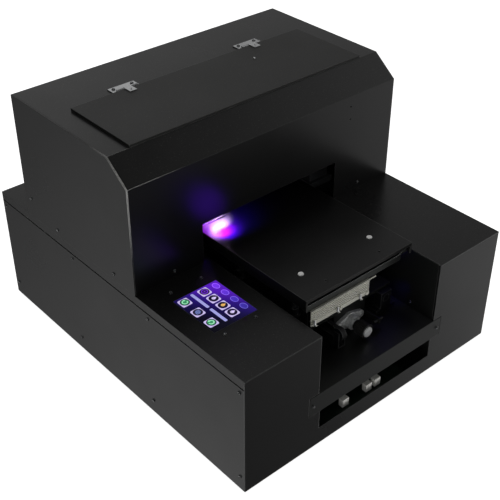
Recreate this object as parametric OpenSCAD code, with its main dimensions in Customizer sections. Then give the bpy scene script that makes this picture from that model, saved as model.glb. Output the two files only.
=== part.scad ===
// Flatbed UV printer, desktop size: a sheet-steel base with an open bay at the front, a hood
// that covers the print head, and a bed that slides in and out and is raised by a hand knob.
// Millimetres. X is right, Y is back, Z is up. The origin is on the floor under the middle.

/* [Case] */
// Width of the case
case_w = 500; // [490:1:520]
// Depth of the case
case_d = 587; // [580:1:610]
// Height of the base box without its feet
base_h = 196; // [194:1:200]
// Height of the rubber feet
foot_h = 6; // [5:1:10]
// Thickness of the case sheet
sheet = 1.5; // [1.2:0.1:1.6]

/* [Hood] */
// Distance from the case front back to the hood front
hood_setback = 227; // [222:1:232]
// Depth of the hood
hood_d = 278; // [270:1:285]
// Height of the hood above the deck
hood_h = 198.5; // [190:0.5:205]
// Height of the hood front up to its chamfer
hood_front_h = 167; // [155:1:175]
// Depth of the chamfer
chamfer_d = 40.5; // [30:0.5:45]
// Width of the opening in the hood front
mouth_w = 260; // [250:2:280]
// Height of the opening in the hood front
mouth_h = 65; // [60:1:75]

/* [Lid] */
// Width of the access lid
lid_w = 426; // [400:2:440]
// Depth of the access lid
lid_d = 138.5; // [120:0.5:145]
// Thickness of the access lid
lid_t = 4; // [3:0.5:5]
// Distance of each hinge from the middle
hinge_x = 117; // [90:1:150]

/* [Bay] */
// Width of the open bay
bay_w = 236; // [230:1:244]
// Height of the bay floor above the case bottom
bay_floor_h = 95; // [93:1:96]

/* [Bed] */
// Width of the table
table_w = 208; // [200:1:212]
// Length of the table
table_len = 280; // [270:1:285]
// Height of the table top above the deck
table_rise = 23; // [22:1:24]
// Distance from the case front back to the table front
table_setback = 45; // [43:1:50]

/* [Keypad] */
// Size of a square key
key_size = 15.4; // [13:0.1:16]
// Corner radius of a key
key_r = 2; // [1:0.5:3]

/* [Hidden] */
$fn = 48;

// Case planes
x_out = case_w / 2;
y_out = case_d / 2;
x_in = x_out - sheet;
y_in = y_out - sheet;
gap = 0.2;
deck_z = foot_h + base_h;
lip_h = 13;
seam = 2.4;
side_top = deck_z - lip_h - seam;

// Hood planes
hood_y0 = -y_out + hood_setback;
hood_y1 = hood_y0 + hood_d;
hood_top = deck_z + hood_h;
mouth_top = deck_z + mouth_h;

// Bay
bay_x = bay_w / 2;
floor_z = foot_h + bay_floor_h;
bay_y1 = 250;
notch_y1 = hood_y1 - 6.5;
strip_x = bay_x + 16;
strip_z = floor_z - 33;
slot_x = bay_x - 3;
slot_z = foot_h + 30;
reveal = 1.4;

// Lid and hinges
lid_y0 = hood_y0 + chamfer_d;
lid_y1 = lid_y0 + lid_d;
lid_z0 = hood_top + 0.3;
lid_z1 = lid_z0 + lid_t;
hinge_y = lid_y1 + 2.7;
hinge_z = lid_z1 - 0.8;
knuckle_r = 2.2;
pin_r = 1.1;
leaf_t = 1.5;
leaf_w = 45;
leg_w = 12;

// Screws
screw_r = 1.5;
hole_r = 1.7;
head_r = 2.9;
head_h = 1.6;
side_rows_y = [-284, -93.3, 93.3, 284];
rear_rows_x = [-238, -80, 80, 238];
panel_rows_z = [foot_h + 23, foot_h + 173];
hood_side_screws = [[hood_y0 + 48.5, 11], [hood_y0 + 192.5, 11], [hood_y0 + 262, 33]];
hood_front_screw_x = 182;
bay_screw_ys = [-247, -40];
bay_screw_z = floor_z + 9;
strip_screw_x = strip_x - 7;

// Keypad, seen from the left side of the machine
panel_x = [-218, -144];
panel_y = [-197, -110];
mode_x = -172.8;
mode_y = [-121, -140.5, -160, -179.5];
jog_x = -207.5;
jog_y = [-122, -150, -178];
keypad_screw_x = [-209, -156];
keypad_screw_y = [-207.5, -92.5];
key_top = deck_z + 0.6;
key_len = 8.2;
board_z = deck_z - 12;
dome_h = 1.4;

// Bed drive
rod_r = 6;
rod_x = 84;
rod_z = floor_z + 23;
rod_y0 = -228;
rod_y1 = 219;
fit = 0.05;
pulley_r = 8;
belt_gap = 0.3;
belt_t = 1.2;
belt_w = 6;
bed_belt_x = -26;
bed_belt_z = floor_z + 22;
bed_idler_y = -240;
bed_motor_y = 225;
plate_z0 = rod_z + 12;
plate_z1 = plate_z0 + 5;
carriage_y0 = -219;
carriage_y1 = -30;
motor_size = 42;
axle_r = 2.5;

// Table and lift
table_z1 = deck_z + table_rise;
table_z0 = table_z1 - 5;
table_y0 = -y_out + table_setback;
table_y1 = table_y0 + table_len;
frame_z1 = table_z0 - 8;
frame_z0 = frame_z1 - 3;
post_r = 4;
post_x = 60;
post_y = [-180, -60];
lift_x = 12.5;
lift_y = -120;
shaft_z = floor_z + 15.5;
shaft_r = 4;
knob_y0 = -258;
knob_y1 = -236;
knob_r = 11;
gear_in = 8;
gear_out = 14;
bar_x = [-94, 19];
bar_y = [table_y0, table_y0 + 18];
bar_z = frame_z0 - 32;

// Print head
head_rod_y = 5;
head_rod_z = deck_z + 83;
beam_x = 226;
beam_y = 44;
beam_z = [deck_z + 60, deck_z + 128];
head_belt_y = 33;
head_belt_z = deck_z + 98;
head_pulley_x = 205;
head_x = [-165, -104];
lamp_x = [-103.8, -56];
nozzle_z = table_z1 + 4;

// Rear fittings
fan_x = 185;
fan_z = foot_h + 104;
fan_size = 60;
fan_t = 20;
inlet_x = -190;
rocker_x = -150;
usb_x = -118;
socket_z = foot_h + 40;
rocker_tilt = 8;

// ---------- helpers ----------

// A box between two opposite corners
module block(from, to) {
  translate(from) cube(to - from);
}

// Round bars along each axis, each from a start point
module bar_along_x(start, length, r) {
  translate(start) rotate([0, 90, 0]) cylinder(h = length, r = r);
}
module bar_along_y(start, length, r) {
  translate(start) rotate([-90, 0, 0]) cylinder(h = length, r = r);
}
module bar_along_z(start, length, r) {
  translate(start) cylinder(h = length, r = r);
}

// A square with round corners, centred
module round_square(w, d, r) {
  for (sx = [-1, 1], sy = [-1, 1])
    translate([sx * (w / 2 - r), sy * (d / 2 - r)]) circle(r);
  square([w - 2 * r, d], center = true);
  square([w, d - 2 * r], center = true);
}

// Button-head screw: the head stands on z = 0 and the shank goes down
module screw(length = 6, r = screw_r, cap_r = head_r) {
  difference() {
    union() {
      cylinder(h = head_h, r1 = cap_r, r2 = cap_r * 0.72);
      translate([0, 0, -length]) cylinder(h = length + 0.1, r = r);
    }
    translate([0, 0, head_h - 1]) cylinder(h = 2, r = cap_r * 0.42, $fn = 6);
  }
}

// Turn what points up so that it points out of a face
module to_left() { rotate([0, -90, 0]) children(); }
module to_right() { rotate([0, 90, 0]) children(); }
module to_front() { rotate([90, 0, 0]) children(); }
module to_back() { rotate([-90, 0, 0]) children(); }

// A flat belt loop in the XY plane between two pulleys on the X axis
module belt_loop(length) {
  r_in = pulley_r + belt_gap;
  linear_extrude(belt_w) difference() {
    stadium(length, r_in + belt_t);
    stadium(length, r_in);
  }
}
module stadium(length, r) {
  circle(r);
  translate([length, 0]) circle(r);
  translate([0, -r]) square([length, 2 * r]);
}

// A toothed pulley with two flanges, along Z, with its middle at z = 0
module pulley() {
  teeth = 20;
  flange_t = 0.8;
  half = belt_w / 2 + gap;
  difference() {
    union() {
      translate([0, 0, -half]) cylinder(h = 2 * half, r = pulley_r);
      for (z = [-half - flange_t, half])
        translate([0, 0, z]) cylinder(h = flange_t, r = pulley_r + 2);
    }
    translate([0, 0, -20]) cylinder(h = 40, r = axle_r + fit);
    for (i = [0 : teeth - 1]) rotate([0, 0, i * 360 / teeth])
      translate([pulley_r - 0.6, -0.6, -half]) cube([1, 1.2, 2 * half]);
  }
}

// A square stepper motor: its face is z = 0 and its shaft goes up
module motor(shaft_len) {
  corner = 5;
  h = motor_size / 2;
  translate([0, 0, -40]) linear_extrude(40) polygon([
    [-h, corner - h], [corner - h, -h], [h - corner, -h], [h, corner - h],
    [h, h - corner], [h - corner, h], [corner - h, h], [-h, h - corner]
  ]);
  cylinder(h = 1.8, r = 11);
  cylinder(h = shaft_len, r = axle_r);
}

// A mitre gear on Z whose cone points down to z = 0
module mitre_gear() {
  teeth = 16;
  difference() {
    translate([0, 0, gear_in]) cylinder(h = gear_out - gear_in, r1 = gear_in - 0.4, r2 = gear_out - 0.4);
    for (i = [0 : teeth - 1]) rotate([0, 0, i * 360 / teeth])
      translate([gear_in - 0.9, -0.7, gear_in]) rotate([0, 45, 0])
        translate([-1.2, 0, -3]) cube([1.2, 1.4, 16]);
  }
}

// ---------- case ----------

module base_pan() {
  flange = 32;
  x = x_in - gap;
  y = y_in - gap;
  color("#1d1e1e") difference() {
    union() {
      block([-x, -y, foot_h], [x, y, foot_h + sheet]);
      for (s = [-1, 1]) {
        block([s < 0 ? -x : x - sheet, -y, foot_h], [s < 0 ? -x + sheet : x, y, foot_h + flange]);
        block([-x, s < 0 ? -y : y - sheet, foot_h], [x, s < 0 ? -y + sheet : y, foot_h + flange]);
      }
    }
    for (y = side_rows_y) bar_along_x([-x_out, y, panel_rows_z[0]], case_w, hole_r);
    for (x = rear_rows_x) bar_along_y([x, y_out - 10, panel_rows_z[0]], 12, hole_r);
    block([-slot_x, -y_out, slot_z - 2], [slot_x, -y_out + 8, strip_z + 40]);
    block([inlet_x - 16, y_out - 6, socket_z - 12], [usb_x + 9, y_out, socket_z + 12]);
  }
}

module rubber_feet() {
  color("#111111") for (x = [-x_out + 35, x_out - 35], y = [-y_out + 38, y_out - 38])
    translate([x, y, 0]) cylinder(h = foot_h, r1 = 12, r2 = 14);
}

// One side of the base box, from the case bottom up to the seam under the deck's lip
module side_panel(s) {
  x0 = s < 0 ? -x_out : x_in;
  color("#2b2c2c") difference() {
    block([x0, -y_in + gap, foot_h], [x0 + sheet, y_in - gap, side_top]);
    for (y = side_rows_y, z = panel_rows_z) bar_along_x([x0 - 1, y, z], sheet + 2, hole_r);
  }
}
module left_panel() { side_panel(-1); }
module right_panel() { side_panel(1); }

module front_panel() {
  top = deck_z - sheet - gap;
  color("#1a1b1b") difference() {
    block([-x_out, -y_out, foot_h], [x_out, -y_in, top]);
    block([-bay_x, -y_out - 1, floor_z], [bay_x, -y_in + 1, top + 1]);
    block([-strip_x - reveal, -y_out - 1, strip_z], [strip_x + reveal, -y_in + 1, floor_z + reveal]);
    block([-slot_x, -y_out - 1, slot_z], [slot_x, -y_in + 1, strip_z + 1]);
  }
}

module rear_panel() {
  top = deck_z - sheet - gap;
  vent_pitch = 7;
  color("#1a1b1b") difference() {
    block([-x_out, y_in, foot_h], [x_out, y_out, top]);
    for (x = rear_rows_x, z = panel_rows_z) bar_along_y([x, y_in - 1, z], sheet + 2, hole_r);
    for (r = [8, 15, 22]) for (a = [0 : 360 / (r * 0.8) : 359])
      bar_along_y([fan_x + r * cos(a), y_in - 1, fan_z + r * sin(a)], sheet + 2, 2);
    for (i = [-5 : 5]) block([i * vent_pitch - 2, y_in - 1, fan_z - 25],
                             [i * vent_pitch + 2, y_out + 1, fan_z + 25]);
    block([inlet_x - 14, y_in - 1, socket_z - 10.5], [inlet_x + 14, y_out + 1, socket_z + 10.5]);
    block([rocker_x - 7, y_in - 1, socket_z - 11], [rocker_x + 7, y_out + 1, socket_z + 11]);
    block([usb_x - 6.2, y_in - 1, socket_z - 5.7], [usb_x + 6.2, y_out + 1, socket_z + 5.7]);
  }
}

module deck_cover() {
  z0 = deck_z - sheet;
  color("#1c1d1d") difference() {
    union() {
      block([-x_out, -y_out, z0], [x_out, y_out, deck_z]);
      for (x = [-x_out, x_in]) block([x, -y_in + gap, deck_z - lip_h], [x + sheet, y_in - gap, z0 + 0.1]);
    }
    block([-bay_x, -y_out - 1, z0 - 1], [bay_x, notch_y1, deck_z + 1]);
    block([panel_x[0], panel_y[0], z0 - 1], [panel_x[1], panel_y[1], deck_z + 1]);
    for (x = keypad_screw_x, y = keypad_screw_y) bar_along_z([x, y, z0 - 1], sheet + 2, hole_r);
  }
}

// Bay floor, bent down at the front into the strip that closes the front panel
module bay_tray() {
  color("#1b1c1c") difference() {
    union() {
      block([-bay_x + gap, -y_out, floor_z - sheet], [bay_x - gap, bay_y1, floor_z]);
      block([-strip_x, -y_out, strip_z + gap], [strip_x, -y_in, floor_z]);
    }
    for (s = [-1, 1]) bar_along_y([s * strip_screw_x, -y_out - 1, strip_z + 16], sheet + 2, hole_r);
  }
}

module bay_walls() {
  z0 = foot_h + sheet;
  color("#1b1c1c") for (s = [-1, 1]) difference() {
    block([s < 0 ? -bay_x - sheet : bay_x, -y_in + sheet + 2 * gap, z0],
          [s < 0 ? -bay_x : bay_x + sheet, bay_y1, deck_z - sheet]);
    for (y = bay_screw_ys) bar_along_x([s * bay_x - 3, y, bay_screw_z], 6, hole_r);
  }
}

function hood_outline(t) = [
  [hood_y0 + t, deck_z],
  [hood_y0 + t, deck_z + hood_front_h - t * 0.35],
  [hood_y0 + chamfer_d + t * 0.35, hood_top - t],
  [hood_y1 - t, hood_top - t],
  [hood_y1 - t, deck_z]
];

module hood_cover() {
  x = x_in - gap;
  color("#1e1f1f") difference() {
    translate([-x, 0, 0]) rotate([90, 0, 90]) linear_extrude(2 * x) difference() {
      polygon(hood_outline(0));
      translate([0, -0.01]) polygon(hood_outline(sheet));
    }
    block([-mouth_w / 2, hood_y0 - 1, deck_z - 1], [mouth_w / 2, hood_y0 + sheet + 1, mouth_top]);
    block([-195, lid_y0 + 16, hood_top - 5], [195, lid_y1 - 14, hood_top + 5]);
    for (z = [129, 150]) bar_along_y([156.5, hood_y0 - 1, deck_z + z], sheet + 2, 1.6);
    for (s = [-1, 1]) {
      bar_along_y([s * hood_front_screw_x, hood_y0 - 1, deck_z + 10], sheet + 2, hole_r);
      for (dx = [-16, 16]) bar_along_z([s * hinge_x + dx, hinge_y + 11, hood_top - 4], 8, hole_r);
    }
  }
}

module hood_sides() {
  color("#2b2c2c") for (x = [-x_out, x_in]) difference() {
    translate([x, 0, 0]) rotate([90, 0, 90]) linear_extrude(sheet) polygon(hood_outline(0));
    for (p = hood_side_screws) bar_along_x([x - 1, p[0], deck_z + p[1]], sheet + 2, hole_r);
  }
}

// All the black button-head screws of the case, the keypad and the hood's hinge leaves
module case_screws() {
  color("#161616") {
    for (y = side_rows_y, z = panel_rows_z) {
      translate([-x_out, y, z]) to_left() screw();
      translate([x_out, y, z]) to_right() screw();
    }
    for (x = rear_rows_x, z = panel_rows_z) translate([x, y_out, z]) to_back() screw();
    for (p = hood_side_screws) {
      translate([-x_out, p[0], deck_z + p[1]]) to_left() screw();
      translate([x_out, p[0], deck_z + p[1]]) to_right() screw();
    }
    for (s = [-1, 1]) {
      translate([s * strip_screw_x, -y_out, strip_z + 16]) to_front() screw();
      translate([s * hood_front_screw_x, hood_y0, deck_z + 10]) to_front() screw();
      for (dx = [-16, 16]) translate([s * hinge_x + dx, hinge_y + 11, hood_top + leaf_t]) screw();
    }
    for (x = keypad_screw_x, y = keypad_screw_y) translate([x, y, deck_z]) screw(length = 9);
    for (y = bay_screw_ys) {
      translate([-bay_x, y, bay_screw_z]) to_right() screw();
      translate([bay_x, y, bay_screw_z]) to_left() screw();
    }
  }
}

// ---------- lid ----------

// Fixed half of each hinge: a bar screwed to the hood, two knuckles and the pin
module hinge_hood_leaves() {
  inner = leg_w / 2 + 0.3;
  knuckle_w = leaf_w / 2 - inner - 5;
  color("#c8c8c8") for (s = [-1, 1]) translate([s * hinge_x, 0, 0]) {
    difference() {
      union() {
        block([-leaf_w / 2, hinge_y + knuckle_r + 0.3, hood_top],
              [leaf_w / 2, hinge_y + 17, hood_top + leaf_t]);
        for (x = [-leaf_w / 2 + 5, inner]) {
          bar_along_x([x, hinge_y, hinge_z], knuckle_w, knuckle_r);
          block([x, hinge_y + 0.4, hood_top], [x + knuckle_w, hinge_y + knuckle_r + 0.4, hinge_z]);
        }
      }
      for (dx = [-16, 16]) bar_along_z([dx, hinge_y + 11, hood_top - 1], leaf_t + 2, hole_r);
      bar_along_x([-leaf_w, hinge_y, hinge_z], 2 * leaf_w, pin_r);
    }
    bar_along_x([-leaf_w / 2 + 4, hinge_y, hinge_z], leaf_w - 8, pin_r);
  }
}

module access_lid() {
  color("#3a3a39") difference() {
    block([-lid_w / 2, lid_y0, lid_z0], [lid_w / 2, lid_y1, lid_z1]);
    for (s = [-1, 1]) bar_along_z([s * hinge_x, lid_y1 - 8, lid_z0 - 1], lid_t + 2, 1.3);
    bar_along_z([85, lid_y1 - 42, lid_z0 - 1], lid_t + 2, 1.3);
  }
}

// Moving half of each hinge: a leg on the lid with one knuckle, and the lid's small screws
module hinge_lid_leaves() {
  color("#d2d2d2") {
    for (s = [-1, 1]) translate([s * hinge_x, 0, 0]) {
      difference() {
        union() {
          block([-leg_w / 2, lid_y1 - 14, lid_z1], [leg_w / 2, hinge_y, lid_z1 + leaf_t]);
          bar_along_x([-leg_w / 2, hinge_y, hinge_z], leg_w, knuckle_r);
        }
        bar_along_x([-leg_w, hinge_y, hinge_z], 2 * leg_w, pin_r + fit);
        bar_along_z([0, lid_y1 - 8, lid_z1 - 1], leaf_t + 2, 1.3);
      }
      translate([0, lid_y1 - 8, lid_z1 + leaf_t]) screw(length = 4, r = 1.1, cap_r = 2);
    }
    translate([85, lid_y1 - 42, lid_z1]) screw(length = 4, r = 1.1, cap_r = 2);
  }
}

// ---------- keypad ----------

module key_shape(extra) {
  round_square(key_size + extra, key_size + extra, key_r);
}

module keypad_panel() {
  z0 = deck_z - 1.8;
  color("#14183a") difference() {
    block([panel_x[0] + gap, panel_y[0] + gap, z0], [panel_x[1] - gap, panel_y[1] - gap, deck_z + 0.1]);
    for (y = mode_y) translate([mode_x, y, z0 - 1]) linear_extrude(5) key_shape(0.5);
    for (y = jog_y) translate([jog_x, y, z0 - 1]) linear_extrude(5) key_shape(0.5);
  }
}

module keypad_board() {
  board_t = 1.6;
  color("#1d4d2b") {
    difference() {
      block([panel_x[0] - 4, keypad_screw_y[0] - 6, board_z - board_t],
            [panel_x[1] + 4, keypad_screw_y[1] + 6, board_z]);
      for (x = keypad_screw_x, y = keypad_screw_y) bar_along_z([x, y, board_z - 3], 5, hole_r);
    }
    for (y = mode_y) translate([mode_x, y, board_z]) cylinder(h = dome_h, r1 = 4, r2 = 2.5);
    for (y = jog_y) translate([jog_x, y, board_z]) cylinder(h = dome_h, r1 = 4, r2 = 2.5);
    for (x = keypad_screw_x, y = keypad_screw_y) translate([x, y, board_z]) difference() {
      cylinder(h = deck_z - sheet - board_z, r = 3);
      translate([0, 0, -1]) cylinder(h = 20, r = hole_r);
    }
  }
}

module key(x, y) {
  color("#e8ecf4") translate([x, y, key_top - key_len]) {
    linear_extrude(key_len) key_shape(0);
    translate([0, 0, -1.6]) cylinder(h = 1.8, r = 2.2);
  }
}

// ---------- bed drive ----------

module guide_rods() {
  color("#c4c6c8") {
    for (s = [-1, 1]) bar_along_y([s * rod_x, rod_y0, rod_z], rod_y1 - rod_y0, rod_r);
    bar_along_x([-beam_x - 4, head_rod_y, head_rod_z], 2 * beam_x + 8, rod_r);
  }
}

// The four rod supports, the front idler's fork and the motor's upright, all on the bay floor
module bed_brackets() {
  support_t = 14;
  ear = 1.6;
  color("#a9abad") {
    for (s = [-1, 1], y = [rod_y0, rod_y1 - support_t]) difference() {
      union() {
        block([s * rod_x - 20, y, floor_z], [s * rod_x + 20, y + support_t, floor_z + 7]);
        block([s * rod_x - 11, y, floor_z], [s * rod_x + 11, y + support_t, rod_z + 11]);
      }
      bar_along_y([s * rod_x, y - 1, rod_z], support_t + 2, rod_r + fit);
    }
    for (x = [bed_belt_x - 7, bed_belt_x + 7 - ear])
      block([x, bed_idler_y - 5, floor_z], [x + ear, bed_idler_y + 5, bed_belt_z + 5]);
    block([bed_belt_x - 7, bed_idler_y - 5, floor_z], [bed_belt_x + 7, bed_idler_y + 5, floor_z + ear]);
    bar_along_x([bed_belt_x - 7, bed_idler_y, bed_belt_z], 14, axle_r);
    difference() {
      block([bed_belt_x + 6, bed_motor_y - 24, floor_z],
            [bed_belt_x + 8, bed_motor_y + 24, bed_belt_z + 22]);
      bar_along_x([bed_belt_x, bed_motor_y, bed_belt_z], 20, 11.5);
    }
  }
}

module bed_motor() {
  color("#2a2b2d") translate([bed_belt_x + 8.01, bed_motor_y, bed_belt_z]) to_left() motor(13);
}

module bed_drive_pulley() {
  color("#b4b6b8") translate([bed_belt_x, bed_motor_y, bed_belt_z]) to_right() pulley();
}
module bed_idler_pulley() {
  color("#b4b6b8") translate([bed_belt_x, bed_idler_y, bed_belt_z]) to_right() pulley();
}

module bed_belt() {
  color("#151515") translate([bed_belt_x - belt_w / 2, bed_idler_y, bed_belt_z])
    rotate([90, 0, 90]) belt_loop(bed_motor_y - bed_idler_y);
}

// Plate that rides on the two rods, bent down at the front to hold the knob's bearing
// and an arm with a short cross rod beside the knob
module bed_carriage() {
  run_z = bed_belt_z + pulley_r + belt_gap + belt_t / 2;
  color("#191a1a") difference() {
    union() {
      block([-100, carriage_y0, plate_z0], [100, carriage_y1, plate_z1]);
      block([-17, carriage_y0, shaft_z - 13], [47, carriage_y0 + 4, plate_z1]);
      block([43.5, -252, shaft_z - 6], [46.5, carriage_y0 + 1, shaft_z + 3]);
      bar_along_x([36, -248, shaft_z - 1.5], 18, 2.5);
      block([bed_belt_x - 6, -100, run_z - 4], [bed_belt_x + 6, -80, plate_z0 + 1]);
      block([lift_x - 8, lift_y - 30, shaft_z - 8], [lift_x + 8, lift_y - 24, plate_z0 + 1]);
    }
    block([bed_belt_x - 3.4, -110, run_z - 1], [bed_belt_x + 3.4, -70, run_z + 1]);
    for (sx = [-1, 1], y = post_y) bar_along_z([sx * post_x, y, plate_z0 - 1], 7, 7.1);
    bar_along_z([lift_x, lift_y, plate_z0 - 1], 7, 7.1);
    bar_along_y([lift_x, carriage_y0 - 1, shaft_z], 6, shaft_r + 0.5);
    bar_along_y([lift_x, lift_y - 32, shaft_z], 10, shaft_r + fit);
    for (dx = [-22, 22]) bar_along_y([lift_x + dx, carriage_y0 - 1, shaft_z], 6, 2.2);
  }
}

// Four bearing blocks on the rods, four post bushes and the lift screw's bush
module carriage_bearings() {
  block_len = 32;
  color("#b9bbbd") {
    for (s = [-1, 1], y = [-150, -75]) difference() {
      block([s * rod_x - 14, y, rod_z - 12], [s * rod_x + 14, y + block_len, plate_z0]);
      bar_along_y([s * rod_x, y - 1, rod_z], block_len + 2, rod_r + fit);
    }
    for (sx = [-1, 1], y = post_y) bush([sx * post_x, y], post_r, 13);
    bush([lift_x, lift_y], shaft_r, 1.5);
  }
}
module bush(place, r, rise) {
  translate([place[0], place[1], plate_z0 - 1]) difference() {
    union() {
      cylinder(h = plate_z1 - plate_z0 + 1 + rise, r = 7);
      translate([0, 0, plate_z1 - plate_z0 + 1]) cylinder(h = 1.5, r = 10);
    }
    translate([0, 0, -1]) cylinder(h = 40, r = r + fit);
  }
}

// Two-bolt flange bearing that carries the knob's shaft
module flange_bearing() {
  color("#cfd1d2") translate([lift_x, carriage_y0, shaft_z]) to_front() {
    difference() {
      union() {
        linear_extrude(5) hull() {
          circle(13);
          for (dx = [-22, 22]) translate([dx, 0]) circle(6.5);
        }
        cylinder(h = 13, r1 = 12.5, r2 = 11);
      }
      translate([0, 0, -1]) cylinder(h = 20, r = shaft_r + fit);
      translate([0, 0, 12]) cylinder(h = 5, r = 8);
      for (dx = [-22, 22]) translate([dx, 0, -1]) cylinder(h = 10, r = 2.2);
    }
    for (dx = [-22, 22]) translate([dx, 0, 5]) screw(length = 9, r = 2, cap_r = 4.4);
  }
}

// ---------- lift ----------

module lift_knob() {
  grooves = 24;
  color("#161616") translate([lift_x, knob_y1, shaft_z]) to_front() difference() {
    union() {
      cylinder(h = 6, r = knob_r - 3);
      translate([0, 0, 5]) cylinder(h = knob_y1 - knob_y0 - 5, r = knob_r);
    }
    translate([0, 0, -1]) cylinder(h = 40, r = shaft_r + 0.02);
    for (i = [0 : grooves - 1]) rotate([0, 0, i * 360 / grooves])
      translate([knob_r, 0, 7]) rotate([0, 0, 45]) cube([1.1, 1.1, 13]);
  }
}

// Knob shaft with its polished end disc in front and its mitre gear at the back
module lift_shaft() {
  color("#d9dadb") translate([lift_x, lift_y, shaft_z]) to_front() {
    length = lift_y - knob_y0;
    translate([0, 0, gear_in]) cylinder(h = length - gear_in, r = shaft_r);
    translate([0, 0, length]) cylinder(h = 2, r1 = 8.2, r2 = 7.7);
    mitre_gear();
  }
}

module lift_screw() {
  top = frame_z0 - 27.6 - shaft_z;
  color("#c9cacb") translate([lift_x, lift_y, shaft_z]) {
    translate([0, 0, gear_in]) cylinder(h = top - gear_in, r = shaft_r);
    rotate([0, 0, 11.25]) mitre_gear();
  }
}

module table_top() {
  x = table_w / 2;
  color("#1b1b1c") difference() {
    union() {
      block([-x, table_y0, table_z0], [x, table_y1, table_z1]);
      for (s = [-1, 1]) block([s < 0 ? -x : x - 3, table_y0, table_z0 - 12],
                              [s < 0 ? -x + 3 : x, table_y1, table_z0 + 0.1]);
    }
    for (sx = [-1, 1], y = [table_y0 + 16, table_y1 - 16])
      translate([sx * 52, y, table_z1 - 2]) cylinder(h = 3, r1 = 1, r2 = 3);
  }
}

module table_frame() {
  color("#8f9193") {
    block([-100, table_y0 + 5, frame_z0], [100, table_y1 - 4, frame_z1]);
    block([-100, table_y0 + 3, frame_z1 - 10], [85, table_y0 + 5.1, frame_z1]);
  }
}

module table_pads() {
  color("#f2f2f0") for (s = [-1, 1]) translate([s * 67.5, table_y0 + 49, table_z1])
    cylinder(h = 1.2, r1 = 4.4, r2 = 3.8);
}

// Guide posts under the bed frame and the spacers above it
module guide_posts() {
  color("#c4c6c8") for (sx = [-1, 1], y = post_y) {
    bar_along_z([sx * post_x, y, plate_z0 - 6], frame_z0 - plate_z0 + 6, post_r);
    bar_along_z([sx * post_x, y, frame_z1], table_z0 - frame_z1, 6);
  }
}

module lift_nut() {
  drop = 41;
  color("#b08d4f") translate([lift_x, lift_y, frame_z0 - drop]) difference() {
    union() {
      cylinder(h = drop, r = 9);
      cylinder(h = 4, r = 13);
    }
    translate([0, 0, -1]) cylinder(h = 12, r = shaft_r + fit);
    translate([0, 0, 10]) cylinder(h = drop - 12, r = 6);
  }
}

// Ribbed aluminium angle hung below the table front, with its two end brackets and cross pin
module front_bar() {
  web = 5;
  foot = 4;
  rib_pitch = 3.2;
  color("#d8d6c8") {
    difference() {
      union() {
        block([bar_x[0], bar_y[0], bar_z], [bar_x[1], bar_y[0] + web, frame_z1 - 10 - gap]);
        block([bar_x[0], bar_y[0], bar_z], [bar_x[1], bar_y[1], bar_z + foot]);
      }
      for (i = [0 : 5]) block([bar_x[0] - 1, bar_y[0] - 1, bar_z + 6.4 + i * rib_pitch],
                              [bar_x[1] + 1, bar_y[0] + 1.2, bar_z + 8 + i * rib_pitch]);
    }
    for (x = [bar_x[0] - 2, bar_x[1]])
      block([x, bar_y[0] + 5.3, bar_z], [x + 2, bar_y[1] - 1, frame_z0]);
    bar_along_x([bar_x[1] + 1.9, bar_y[0] + 9, bar_z + 15], 20, 1.5);
    for (x = [bar_x[0] + 4, (bar_x[0] + bar_x[1]) / 2, bar_x[1] - 4])
      translate([x, bar_y[0], bar_z + 2.9]) to_front() cylinder(h = 1.6, r = 2.8);
  }
}

// ---------- print head ----------

module gantry_beam() {
  color("#1a1b1b") difference() {
    union() {
      block([-beam_x, beam_y, beam_z[0]], [beam_x, beam_y + 4, beam_z[1]]);
      for (s = [-1, 1]) {
        block([s < 0 ? -beam_x - 4 : beam_x, -12, deck_z],
              [s < 0 ? -beam_x : beam_x + 4, beam_y + 4, beam_z[1]]);
        block([s < 0 ? -beam_x - 15 : beam_x, -12, deck_z],
              [s < 0 ? -beam_x : beam_x + 15, beam_y + 4, deck_z + 3]);
      }
      bar_along_y([head_pulley_x, head_belt_y - 5, head_belt_z], beam_y - head_belt_y + 5, axle_r);
    }
    bar_along_x([-beam_x - 5, head_rod_y, head_rod_z], 2 * beam_x + 10, rod_r + 0.1);
    bar_along_y([-head_pulley_x, beam_y - 1, head_belt_z], 6, 11.5);
  }
}

module head_motor() {
  color("#2a2b2d") translate([-head_pulley_x, beam_y + 4.01, head_belt_z]) to_front() motor(20);
}
module head_drive_pulley() {
  color("#b4b6b8") translate([-head_pulley_x, head_belt_y, head_belt_z]) to_back() pulley();
}
module head_idler_pulley() {
  color("#b4b6b8") translate([head_pulley_x, head_belt_y, head_belt_z]) to_back() pulley();
}

module head_belt() {
  color("#151515") translate([-head_pulley_x, head_belt_y + belt_w / 2, head_belt_z])
    rotate([90, 0, 0]) belt_loop(2 * head_pulley_x);
}

module head_carriage() {
  run_z = head_belt_z - pulley_r - belt_gap - belt_t / 2;
  color("#202122") difference() {
    union() {
      block([head_x[0], -26, deck_z + 38], [head_x[1], 26, deck_z + 112]);
      block([-126, 25, run_z - 5], [-110, 39, run_z + 5]);
    }
    bar_along_x([head_x[0] - 1, head_rod_y, head_rod_z], 70, rod_r + fit);
    block([-130, head_belt_y - 3.4, run_z - 1], [-106, head_belt_y + 3.4, run_z + 1]);
    for (i = [0 : 5]) block([head_x[0] + 5 + i * 9, -20, deck_z + 98],
                            [head_x[0] + 11 + i * 9, -6, deck_z + 113]);
  }
}

module print_head() {
  color("#9b9da0") {
    block([head_x[0] + 6, -20, nozzle_z + 3], [head_x[1] - 8, 20, deck_z + 38]);
    block([head_x[0] + 10, -16, nozzle_z], [head_x[1] - 12, 16, nozzle_z + 3]);
  }
}

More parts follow.
